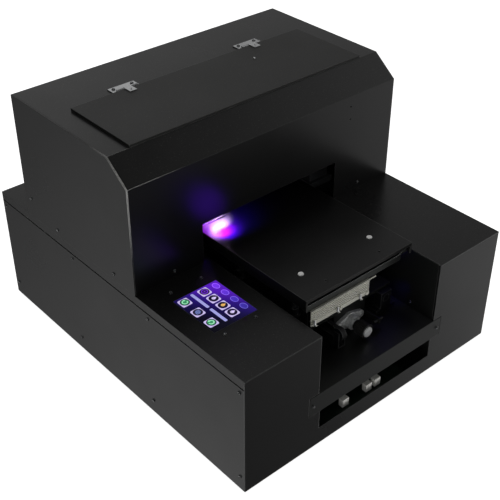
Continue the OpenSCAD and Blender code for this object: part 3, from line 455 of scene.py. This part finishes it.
def motor_finish(name, axis, back):
    material, tree, shader, place = begin(name, Roughness=0.38)
    parts = add(tree, "ShaderNodeSeparateXYZ", None, {"Vector": place})
    along = add(tree, "ShaderNodeMapRange", None,
                {"Value": parts.outputs[axis], "From Min": back - MOTOR_LENGTH,
                 "From Max": back, "To Min": 0.0, "To Max": 1.0})
    stack = add(tree, "ShaderNodeMath", {"operation": "COMPARE"},
                {0: along.outputs["Result"], 1: 0.5, 2: 0.3})
    sheets = add(tree, "ShaderNodeTexWave", {"bands_direction": axis, "wave_type": "BANDS"},
                 {"Vector": place, "Scale": 320.0})
    lacquer = add(tree, "ShaderNodeMix", {"data_type": "RGBA"},
                  {"Factor": sheets.outputs["Fac"], LOW: tone("#1b1c1e"), HIGH: tone("#26272a")})
    colour = add(tree, "ShaderNodeMix", {"data_type": "RGBA"},
                 {"Factor": stack.outputs["Value"], LOW: tone("#a3a6aa"),
                  HIGH: lacquer.outputs[BLEND]})
    bare = add(tree, "ShaderNodeMath", {"operation": "SUBTRACT"},
               {0: 1.0, 1: stack.outputs["Value"]})
    tree.links.new(colour.outputs[BLEND], shader.inputs["Base Color"])
    tree.links.new(bare.outputs["Value"], shader.inputs["Metallic"])
    bump = add(tree, "ShaderNodeBump", None,
               {"Height": sheets.outputs["Fac"], "Distance": 0.00005})
    tree.links.new(bump.outputs["Normal"], shader.inputs["Normal"])
    return material


bed_motor_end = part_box("bed_motor")[1].x
head_motor_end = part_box("head_motor")[1].y
BED_MOTOR = motor_finish("bed_motor_lacquer", "X", bed_motor_end)
HEAD_MOTOR = motor_finish("head_motor_lacquer", "Y", head_motor_end)
print("motor ends", round(bed_motor_end, 4), round(head_motor_end, 4))

# %% [markdown]
# ## Dressing the CAD parts
# Every CAD node now gets its finish. The table below reads like a parts list, from the case to
# the smallest screw, and the loop stops the script if a node was forgotten.

# %% Finish of each CAD part
FINISH = {
    CASE_COAT: "left_panel right_panel front_panel rear_panel deck_cover",
    HOOD_COAT: "hood_cover hood_sides",
    INNER_COAT: "base_pan bay_tray bay_walls gantry_beam bed_carriage",
    LID_COAT: "access_lid",
    TABLE_COAT: "table_top",
    BLACK_OXIDE: "case_screws",
    NICKEL: "hinge_hood_leaves hinge_lid_leaves",
    GROUND_Y: "guide_rods",
    TURNED_Z: "guide_posts lift_screw",
    CAST_ZINC: "flange_bearing",
    BLASTED: "lift_shaft",
    BRACKET_COAT: "bed_brackets bed_idler_pulley carriage_bearings",
    MILLED: "bed_drive_pulley head_drive_pulley head_idler_pulley",
    RIBBED: "front_bar",
    SHADED_PLATE_ALU: "table_frame",
    SHEET_ALU: "power_supply",
    STAINLESS: "print_head",
    BRASS: "lift_nut",
    HEAT_SINK: "uv_lamp",
    KNOB_ABS: "lift_knob",
    HOUSING_ABS: "head_carriage fan_housing fan_rotor",
    SOCKET_ABS: "rear_sockets power_rocker",
    WHITE_ACETAL: "table_pads",
    TANK: "ink_tanks",
    CAP_GREY: "cap_station",
    RUBBER: "rubber_feet",
    BELT: "bed_belt head_belt",
    SLEEVE: "wiring",
    MAIN_BOARD: "main_board",
    KEY_BOARD: "keypad_board",
    BED_MOTOR: "bed_motor",
    HEAD_MOTOR: "head_motor",
    FILM_LIT: "keypad_panel",
    LAMP_QUARTZ: "lamp_lens",
    KEY_LIT: "mode_key_1 mode_key_2 mode_key_3 mode_key_4 jog_key_1 jog_key_2 jog_key_3",
}
dressed = set()
for finish, names in FINISH.items():
    for name in names.split():
        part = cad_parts[name]
        if not part.material_slots:
            part.data.materials.append(finish)
        for holder in part.material_slots:
            holder.material = finish
        dressed.add(name)
missing = sorted(set(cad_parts) - dressed)
assert not missing, missing
print("dressed", len(dressed), "parts")

# %% [markdown]
# ## Tools for the small added pieces
# Every small piece starts as a disc, a plate or a block at its place, is cut to shape in edit
# mode, and gets a soft edge. Everything is deselected before a primitive is added, because the
# edit-mode tools act on all that is selected. At the end the place goes into the mesh, and the
# piece is tied to the body it moves with.

# %% Starting and finishing a small piece
def start_clean():
    if bpy.context.mode != "OBJECT":
        bpy.ops.object.mode_set(mode="OBJECT")
    bpy.ops.object.select_all(action="DESELECT")


def sized_for_edit(piece, scale):
    """Stretches a new primitive, puts the stretch into its mesh and opens it in edit mode."""
    piece.scale = scale
    bpy.ops.object.transform_apply(location=False, rotation=False, scale=True)
    bpy.ops.object.mode_set(mode="EDIT")
    bpy.ops.mesh.select_all(action="SELECT")


def settle(piece, name, finish, body, slot="key_white"):
    """Names the piece, puts its place into its mesh, dresses it and lets it ride."""
    piece.name = name
    piece.data.name = name
    bpy.ops.object.select_all(action="DESELECT")
    piece.select_set(True)
    bpy.context.view_layer.objects.active = piece
    bpy.ops.object.transform_apply(location=True, rotation=True, scale=True)
    piece.data.materials.clear()
    piece.data.materials.append(finish)
    bpy.ops.object.shade_smooth_by_angle(angle=math.radians(35))
    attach(piece, body)
    return piece


def soften(piece, width, segments=1):
    """Bevels the piece's edges and applies the bevel."""
    rounding = piece.modifiers.new("soft_edge", "BEVEL")
    rounding.width = width
    rounding.segments = segments
    rounding.limit_method = "ANGLE"
    rounding.angle_limit = math.radians(40)
    bpy.context.view_layer.objects.active = piece
    bpy.ops.object.modifier_apply(modifier=rounding.name)


print("tools for:", start_clean.__name__, sized_for_edit.__name__, settle.__name__)

# %% [markdown]
# ## Raised print
# The keypad's windows, bars and symbols are prints that stand a fraction of a millimetre above
# the film. A flat outline is drawn first, and extruding it gives it its height and its rim in
# one step, so a ring or an oval needs no cutting of solids.

# %% Discs and bars
SOFT_SHARE = 0.4
BAR_CORNER = 0.3
BAR_SOFT = 0.0001


def raise_print(height):
    """Gives the flat outline in edit mode its height, with all faces outwards."""
    bpy.ops.mesh.select_all(action="SELECT")
    bpy.ops.mesh.extrude_region_move(TRANSFORM_OT_translate={"value": (0, 0, height)})
    bpy.ops.mesh.select_all(action="SELECT")
    bpy.ops.mesh.normals_make_consistent(inside=False)
    bpy.ops.object.mode_set(mode="OBJECT")


def printed_disc(centre, radius, hole, height, corners=40, turn=0.0, stretch=1.0):
    """A flat disc or ring with a thickness, standing on its centre point."""
    start_clean()
    bpy.ops.mesh.primitive_circle_add(vertices=corners, radius=radius, fill_type="NGON",
                                      location=centre, rotation=(0, 0, turn))
    piece = bpy.context.active_object
    sized_for_edit(piece, (1.0, stretch, 1))
    if hole > 0:
        bpy.ops.mesh.inset(thickness=radius - hole)
        bpy.ops.mesh.delete(type="FACE")
    raise_print(height)
    soften(piece, height * SOFT_SHARE)
    return piece


def printed_bar(centre, width, length, height):
    """A plate with round corners: they are bevelled while it is still flat."""
    start_clean()
    bpy.ops.mesh.primitive_plane_add(size=1, location=centre)
    bar = bpy.context.active_object
    sized_for_edit(bar, (width, length, 1))
    bpy.ops.mesh.bevel(offset=width * BAR_CORNER, segments=4, affect="VERTICES")
    raise_print(height)
    soften(bar, BAR_SOFT)
    return bar


def middle(node):
    """The centre of a CAD node's box."""
    low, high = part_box(node)
    return (low + high) / 2


film_top = film_high.z
mode_centres = [middle(f"mode_key_{i}") for i in range(1, 5)]
jog_centres = [middle(f"jog_key_{i}") for i in range(1, 4)]
print("film top at z", round(film_top, 4), "keys:", len(mode_centres) + len(jog_centres))

# %% [markdown]
# ## Keypad windows and bars
# Beside the four mode keys the film has four oval windows, one for each key, and between the two
# rows of keys two plain pale bars. They are a little thicker than the print around them, so a
# rounded rim shows. The ovals are discs stretched along the row.

# %% Windows and bars
WINDOW_INSET = 0.0080
WINDOW_SHIFT = 0.0005
WINDOW_RADIUS, WINDOW_HEIGHT, WINDOW_OVAL = 0.0040, 0.0002, 1.4
RIM_RADIUS, RIM_HOLE, RIM_HEIGHT, RIM_OVAL = 0.0050, 0.0041, 0.0003, 1.35
BAR_WIDTH, BAR_HEIGHT = 0.0046, 0.0003
BARS_ALONG = ((-0.151, -0.1135), (-0.1885, -0.155))

window_x = film_high.x - WINDOW_INSET
for index, centre in enumerate(mode_centres, 1):
    spot = (window_x, centre.y + WINDOW_SHIFT, film_top)
    settle(printed_disc(spot, WINDOW_RADIUS, 0, WINDOW_HEIGHT, stretch=WINDOW_OVAL),
           f"keypad_window_{index}", WINDOW_LIT, "case")
    settle(printed_disc(spot, RIM_RADIUS, RIM_HOLE, RIM_HEIGHT, stretch=RIM_OVAL),
           f"window_rim_{index}", WINDOW_RIM, "case")

bar_x = (mode_centres[0].x + jog_centres[0].x) / 2
for index, (y_from, y_to) in enumerate(BARS_ALONG, 1):
    settle(printed_bar((bar_x, (y_from + y_to) / 2, film_top), BAR_WIDTH, y_to - y_from,
                       BAR_HEIGHT), f"keypad_bar_{index}", BAR_LIT, "case")
print("windows at x", round(window_x, 4), "bars at x", round(bar_x, 4))

# %% [markdown]
# ## Symbols on the mode keys
# Each mode key carries a round dark field with a plain mark on it: a ring with a dot, and three
# drops. A drop is a disc joined to a triangle that points up. Every symbol rides on its own key,
# so it goes down with it.

# %% Mode key symbols
PRINT_HEIGHT = 0.00015
FIELD_RADIUS = 0.0069
RING_RADIUS, RING_HOLE, DOT_RADIUS = 0.0050, 0.0034, 0.0014
BELLY_RADIUS, POINT_RADIUS, POINT_AWAY = 0.0029, 0.0031, 0.0020


def merge(first, others):
    """Joins several pieces into the first."""
    bpy.ops.object.select_all(action="DESELECT")
    for piece in [first, *others]:
        piece.select_set(True)
    bpy.context.view_layer.objects.active = first
    bpy.ops.object.join()
    return bpy.context.active_object


def moved(spot, along_x=0.0, along_y=0.0, along_z=0.0):
    return (spot[0] + along_x, spot[1] + along_y, spot[2] + along_z)


def symbol_disc(index, kind, centre):
    """The round field of a key's symbol. It gives back the middle of its top, and its body."""
    body = f"{kind}_key_{index}"
    spot = (centre.x, centre.y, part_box(body)[1].z)
    settle(printed_disc(spot, FIELD_RADIUS, 0, PRINT_HEIGHT), f"{kind}_disc_{index}",
           ICON_DARK, body)
    return moved(spot, along_z=PRINT_HEIGHT), body


def ring_mark(spot):
    """A ring with a dot in it."""
    ring = printed_disc(spot, RING_RADIUS, RING_HOLE, PRINT_HEIGHT)
    return merge(ring, [printed_disc(spot, DOT_RADIUS, 0, PRINT_HEIGHT)])


def drop_mark(spot):
    """A drop: a disc with a pointed top."""
    belly = printed_disc(spot, BELLY_RADIUS, 0, PRINT_HEIGHT, corners=24)
    point = printed_disc(moved(spot, POINT_AWAY), POINT_RADIUS, 0, PRINT_HEIGHT, corners=3,
                         turn=-math.pi / 2)
    return merge(belly, [point])


MODE_MARKS = ((ring_mark, ICON_VIOLET), (drop_mark, ICON_PALE), (drop_mark, ICON_GOLD),
              (drop_mark, ICON_PALE))
for index, (centre, (mark, finish)) in enumerate(zip(mode_centres, MODE_MARKS), 1):
    spot, body = symbol_disc(index, "mode", centre)
    settle(mark(spot), f"mode_symbol_{index}", finish, body)
print("mode symbols:", len(MODE_MARKS))

# %% [markdown]
# ## Symbols on the jog keys
# The two outer jog keys carry a turned arrow on a green field, and the middle one two overlapping
# sheets. The arrow is a ring with a quarter of its faces deleted and a triangle near the cut. The
# second arrow is the first one mirrored, which is done by the sign of the cut and of the tip.

# %% Jog key symbols
GREEN_RADIUS = 0.0055
ARROW_RADIUS, ARROW_HOLE, TIP_RADIUS = 0.0045, 0.0028, 0.0023
CUT_X, CUT_Y = 0.0004, 0.0002
TIP_X, TIP_Y = 0.0012, 0.0036
SHEET_RADIUS, SHEET_HOLE, SHEET_SHIFT = 0.0042, 0.0027, 0.0010


def turned_arrow(spot, mirror):
    """Three quarters of a ring with an arrow head at its end."""
    ring = printed_disc(spot, ARROW_RADIUS, ARROW_HOLE, PRINT_HEIGHT, corners=48)
    bpy.context.view_layer.objects.active = ring
    bpy.ops.object.mode_set(mode="EDIT")
    mesh = bmesh.from_edit_mesh(ring.data)
    for face in mesh.faces:
        at = face.calc_center_median()
        face.select = at.x * mirror > CUT_X and at.y > CUT_Y
    bmesh.update_edit_mesh(ring.data)
    bpy.ops.mesh.delete(type="FACE")
    bpy.ops.object.mode_set(mode="OBJECT")
    tip = printed_disc(moved(spot, mirror * TIP_X, TIP_Y), TIP_RADIUS, 0, PRINT_HEIGHT,
                       corners=3, turn=-mirror * math.pi / 2)
    return merge(ring, [tip])


for index, mirror in ((1, 1), (3, -1)):
    spot, body = symbol_disc(index, "jog", jog_centres[index - 1])
    settle(printed_disc(spot, GREEN_RADIUS, 0, PRINT_HEIGHT), f"jog_field_{index}", ICON_GREEN,
           body)
    arrow = turned_arrow(moved(spot, along_z=PRINT_HEIGHT), mirror)
    settle(arrow, f"jog_symbol_{index}", ICON_MINT, body)

spot, body = symbol_disc(2, "jog", jog_centres[1])
sheets = [printed_disc(moved(spot, shift, shift), SHEET_RADIUS, SHEET_HOLE, PRINT_HEIGHT,
                       corners=4, turn=math.pi / 4) for shift in (-SHEET_SHIFT, SHEET_SHIFT)]
settle(merge(sheets[0], sheets[1:]), "jog_symbol_2", ICON_BLUE, body)

# %% [markdown]
# ## Clips on the front bar
# Three bright spring clips hold the ribbed bar under the table. Each is a strip of plated steel
# folded once at its foot: a thin plate whose lower face is extruded forward and down, so the fold
# is part of the same strip. They catch more light than anything else in the bay.

# %% Bar clips
CLIP_SIZE = (0.0042, 0.0010, 0.0060)
CLIP_PROUD, CLIP_RISE = 0.0002, 0.0060
CLIPS_X = (-0.0885, -0.0445, -0.0005)
FOLD = ((0, -0.0014, -0.0014), (0, -0.0026, 0.0004))


def bar_clip(x):
    start_clean()
    hung = (x, bar_low.y - CLIP_PROUD, bar_low.z + CLIP_RISE)
    bpy.ops.mesh.primitive_cube_add(size=1, location=hung)
    strip = bpy.context.active_object
    sized_for_edit(strip, CLIP_SIZE)
    mesh = bmesh.from_edit_mesh(strip.data)
    for face in mesh.faces:
        face.select_set(face.normal.z < -0.9)
    bmesh.update_edit_mesh(strip.data)
    for step in FOLD:
        bpy.ops.mesh.extrude_region_move(TRANSFORM_OT_translate={"value": step})
    bpy.ops.object.mode_set(mode="OBJECT")
    soften(strip, 0.0003, 2)
    return strip


for index, x in enumerate(CLIPS_X, 1):
    settle(bar_clip(x), f"bar_clip_{index}", NICKEL, "table", "bright_steel")
print("clips hang at y", round(bar_low.y, 4))

# %% [markdown]
# ## Floor
# The picture is a product shot on a white sweep, so the floor is one wide sheet of paper that
# fills the view. It glows by itself, which keeps it white without a strong light on it. It is
# kept out of reflections, because the world lays the gradients on the black sheet instead.

# %% Floor
def floor_paper():
    material, tree, shader, place = begin("white_sweep_paper", Roughness=0.9,
                                          Emission_Color=(1.0, 1.0, 1.0, 1.0),
                                          Emission_Strength=0.95)
    fibre = add(tree, "ShaderNodeTexNoise", None, {"Vector": place, "Scale": 40.0, "Detail": 4.0})
    shade = add(tree, "ShaderNodeMix", {"data_type": "RGBA"},
                {"Factor": fibre.outputs["Fac"], LOW: tone("#f6f6f6"), HIGH: tone("#efefef")})
    tree.links.new(shade.outputs[BLEND], shader.inputs["Base Color"])
    return material


start_clean()
bpy.ops.mesh.primitive_plane_add(size=14, location=(0, 0, -0.0002))
floor = bpy.context.active_object
floor.name = "floor"
floor.data.materials.append(floor_paper())
floor.visible_glossy = False
print("floor", tuple(round(side, 1) for side in floor.dimensions[:2]), "m")

# %% [markdown]
# ## The world that the black sheet reflects
# A black glossy box has almost no colour of its own: what the eye sees on it is the room. So the
# world is painted like a studio, by direction. Below the horizon it is bright far to the left and
# far to the right, and dark between. Above it, a low bank of light stands at the back, from the
# middle to the right, and the front is bright only far to the right. Curves of brightness over
# X, Y and Z are easier to adjust than lamps would be. Looked at directly, the world is as plain
# and white as the paper.

# %% World
WHITE_LEVEL = 1.05
world = bpy.data.worlds.new("studio")
bpy.context.scene.world = world
world.use_nodes = True
sky = world.node_tree
sky.nodes.clear()
direction = add(sky, "ShaderNodeTexCoord").outputs["Generated"]
toward = add(sky, "ShaderNodeSeparateXYZ", None, {"Vector": direction}).outputs


def ramp(value, stops):
    """A smooth curve through (place, brightness) stops on a value from -1 to 1."""
    spread = add(sky, "ShaderNodeMapRange", None,
                 {"Value": value, "From Min": -1.0, "From Max": 1.0})
    curve = stops_along(sky, spread.outputs["Result"],
                        [((at + 1) / 2, (bright / 2,) * 3 + (1,)) for at, bright in stops])
    return add(sky, "ShaderNodeMath", {"operation": "MULTIPLY"},
               {0: curve, 1: 2.0}).outputs["Value"]


# below the horizon
leftward = add(sky, "ShaderNodeMath", {"operation": "MULTIPLY_ADD"},
               {0: toward["Z"], 1: 0.5, 2: toward["X"]})
below_left = ramp(leftward.outputs["Value"], [(-1.0, 0.85), (-0.84, 0.66), (-0.74, 0.62),
                                              (-0.69, 0.42), (-0.63, 0.05), (0.0, 0.03)])
below_right = ramp(toward["X"], [(-1.0, 0.05), (0.1, 0.07), (0.5, 0.10), (0.58, 0.14),
                                 (0.70, 0.6), (1.0, 0.9)])
below = add(sky, "ShaderNodeMath", {"operation": "MAXIMUM"}, {0: below_left, 1: below_right})
# above it, behind the printer and in front of it
back_rise = ramp(toward["Z"], [(-1.0, 0.6), (0.3, 0.6), (0.4, 0.55), (0.48, 0.46), (0.6, 0.42),
                               (1.0, 0.2)])
back_fade = ramp(toward["X"], [(-1.0, 0.03), (-0.3, 0.06), (0.15, 0.7), (0.42, 1.0), (0.6, 0.6),
                               (0.75, 0.5), (1.0, 0.5)])
back = add(sky, "ShaderNodeMath", {"operation": "MULTIPLY"}, {0: back_rise, 1: back_fade})
front = ramp(toward["X"], [(-1.0, 0.12), (0.3, 0.05), (0.46, 0.04), (0.58, 0.2), (0.7, 0.7),
                           (1.0, 0.8)])
turned = add(sky, "ShaderNodeMapRange", {"interpolation_type": "SMOOTHSTEP"},
             {"Value": toward["Y"], "From Min": -0.25, "From Max": 0.3})
over = add(sky, "ShaderNodeMix", {"data_type": "FLOAT"},
           {"Factor": turned.outputs["Result"], LOW_VALUE: front,
            HIGH_VALUE: back.outputs["Value"]})
# the two halves, joined softly at the horizon
side = add(sky, "ShaderNodeMapRange", {"interpolation_type": "SMOOTHSTEP"},
           {"Value": toward["Z"], "From Min": -0.1, "From Max": 0.1})
level = add(sky, "ShaderNodeMix", {"data_type": "FLOAT"},
            {"Factor": side.outputs["Result"], LOW_VALUE: below.outputs["Value"],
             HIGH_VALUE: over.outputs[BLEND_VALUE]})
seen = add(sky, "ShaderNodeLightPath").outputs["Is Camera Ray"]
shown = add(sky, "ShaderNodeMix", {"data_type": "FLOAT"},
            {"Factor": seen, LOW_VALUE: level.outputs[BLEND_VALUE], HIGH_VALUE: WHITE_LEVEL})
glow = add(sky, "ShaderNodeBackground", None,
           {"Color": (1, 1, 1, 1), "Strength": shown.outputs[BLEND_VALUE]})
add(sky, "ShaderNodeOutputWorld", None, {"Surface": glow.outputs["Background"]})
print("world nodes:", len(sky.nodes))

# %% [markdown]
# ## Lights
# Two large soft lights, one overhead and one at the front left, light the whole. The lamp beside
# the print head throws a small bright patch on the table: nearly white in the middle, magenta
# round it and blue at its rim, which is three narrow soft-edged cones and one wide faint one.
# They ride on the print head. The faint light on the hood, in the bay and over the keypad comes
# from four more weak lights that ride on the case.

# %% Lights
def add_light(name, kind, spot, watts, colour="#ffffff", target=None, body=None, **more):
    """A light at a place. It is turned to its target and rides on its body, if it has them."""
    data = bpy.data.lights.new(name, kind)
    data.energy = watts
    data.color = tone(colour)[:3]
    for key, value in more.items():
        setattr(data, key, value)
    light = bpy.data.objects.new(name, data)
    bpy.context.scene.collection.objects.link(light)
    light.location = spot
    if target:
        facing = Vector(target) - Vector(spot)
        light.rotation_euler = facing.to_track_quat("-Z", "Y").to_euler()
    if body:
        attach(light, body)


def add_cone(name, spot, target, half_angle, radius, watts, colour, body):
    """A soft-edged cone of light."""
    add_light(name, "SPOT", spot, watts, colour, target, body,
              spot_size=math.radians(half_angle * 2), spot_blend=1.0, shadow_soft_size=radius)


add_light("overhead", "AREA", (-0.4, 0.7, 3.0), 19, target=(0, 0, 0), shape="DISK", size=1.8)
add_light("left_front", "AREA", (-2.2, -1.4, 1.9), 6, target=(0, 0, 0.2), shape="DISK", size=1.2)

table_top_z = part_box("table_top")[1].z
LAMP_RADIUS = 0.003
# source and aim in x and y, height over the table, half angle, watts and colour
for name, x, y, rise, aim, half_angle, watts, colour in (
        ("uv_core", -0.067, -0.037, 0.022, (-0.069, -0.025), 52, 6.0, "#f4c8ff"),
        ("uv_fringe", -0.078, -0.054, 0.028, (-0.080, -0.045), 44, 7.0, "#c40cff"),
        ("uv_rim", -0.070, -0.056, 0.036, (-0.072, -0.046), 46, 4.5, "#4808ff"),
        ("uv_spread", -0.062, -0.042, 0.034, (-0.054, -0.034), 66, 1.1, "#4010ff")):
    add_cone(name, (x, y, rise + table_top_z), (*aim, table_top_z), half_angle, LAMP_RADIUS,
             watts, colour, "head")
add_cone("uv_halo", (-0.079, -0.120, 0.256), (-0.117, -0.0665, 0.296), 45, 0.024, 0.045,
         "#6812ff", "case")
add_light("bay_spill", "POINT", (0.1120, -0.2150, 0.1900), 0.004, "#5a10ff", body="case",
          shadow_soft_size=0.004)
add_cone("bay_glow", (0.1050, -0.2450, 0.1450), (0.1195, -0.2150, 0.1080), 34, 0.010, 0.05,
         "#3a0cff", "case")
keypad_spot = ((mode_centres[0].x + film_high.x) / 2, (film_low.y + film_high.y) / 2,
               film_top + 0.012)
add_light("keypad_glow", "POINT", keypad_spot, 0.0012, "#5a20ff", body="case",
          shadow_soft_size=0.012)

# %% [markdown]
# ## Camera
# The printer is seen from its front left and from well above, with a long lens, so that its
# upright edges stay nearly parallel. The plain view transform keeps the white paper white.

# %% Camera
CAMERA_PLACE = (-0.8233, -0.9609, 1.0146)
CAMERA_TILT, CAMERA_TURN = 55.0, -41.1
lens = bpy.data.cameras.new("camera")
lens.sensor_width = 36.0
lens.lens = 70.52
camera = bpy.data.objects.new("camera", lens)
bpy.context.scene.collection.objects.link(camera)
camera.location = CAMERA_PLACE
camera.rotation_euler = (math.radians(CAMERA_TILT), 0, math.radians(CAMERA_TURN))
bpy.context.scene.camera = camera
bpy.context.scene.view_settings.view_transform = "Standard"
print("camera", round(Vector(CAMERA_PLACE).length, 2), "m from the printer's foot")
